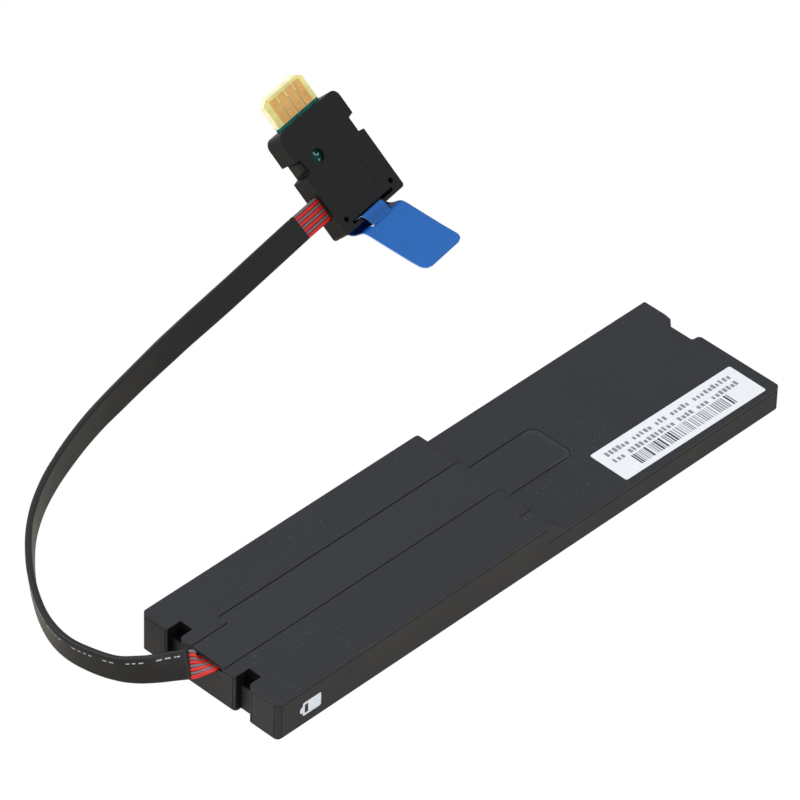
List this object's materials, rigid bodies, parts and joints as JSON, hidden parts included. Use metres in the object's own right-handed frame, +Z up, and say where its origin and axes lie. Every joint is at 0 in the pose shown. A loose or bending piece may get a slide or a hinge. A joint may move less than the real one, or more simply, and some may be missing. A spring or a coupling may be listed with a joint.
{
  "type": "raid battery module with card edge plug",
  "caption": "Flat backup battery module for a storage controller: stepped plastic case with latch notches, flat wire lead and card edge plug with a pull tab",
  "frame": {"origin": "centre of the case footprint, on the surface that it lies on", "axes": "X along the case from the cable end to the thin labelled end, Y across the case toward the plug side, Z up"},
  "size_m": [0.1948, 0.1545, 0.0316],
  "materials": {
    "housing": "fine spark-eroded texture, dark grey",
    "film": "thin dark plastic film, satin",
    "label": "white coated label",
    "cell_can": "drawn, satin",
    "foam": "soft foam",
    "sheet": "thin insulating paper",
    "board": "green solder mask",
    "nickel": "thin nickel strip",
    "chip": "moulded black",
    "fuse": "dark yellow-green, matt",
    "ceramic_chip": "fired ceramic",
    "solder": "bright solder",
    "lead_grey": "smooth insulation",
    "lead_red": "smooth insulation",
    "sleeve": "heat shrink, satin",
    "plug_shell": "moulded, fine grain",
    "gold": "gold plated",
    "tab_film": "clear tinted film"
  },
  "bodies": {
    "root": {"base_tray": "housing", "top_cover": "housing", "channel_film": "film", "white_label": "label", "cell_front": "cell_can", "cell_rear": "cell_can", "cell_pads": "foam", "side_foam": "foam", "insulation_sheet": "sheet", "protection_board": "board", "cell_tabs": "nickel", "gauge_chip": "chip", "mosfet_pair": "chip", "resettable_fuse": "fuse", "sense_resistor": "chip", "chip_capacitors": "ceramic_chip", "thermistor": "chip", "lead_solder": "solder", "battery_leads_grey": "lead_grey", "battery_leads_red": "lead_red", "cable_sleeve": "sleeve", "plug_leads_grey": "lead_grey", "plug_leads_red": "lead_red", "plug_shell_bottom": "plug_shell", "plug_shell_top": "plug_shell", "plug_pins": "plug_shell", "plug_board": "board", "gold_fingers": "gold", "plug_solder": "solder", "pull_tab": "tab_film"}
  },
  "joints": []
}
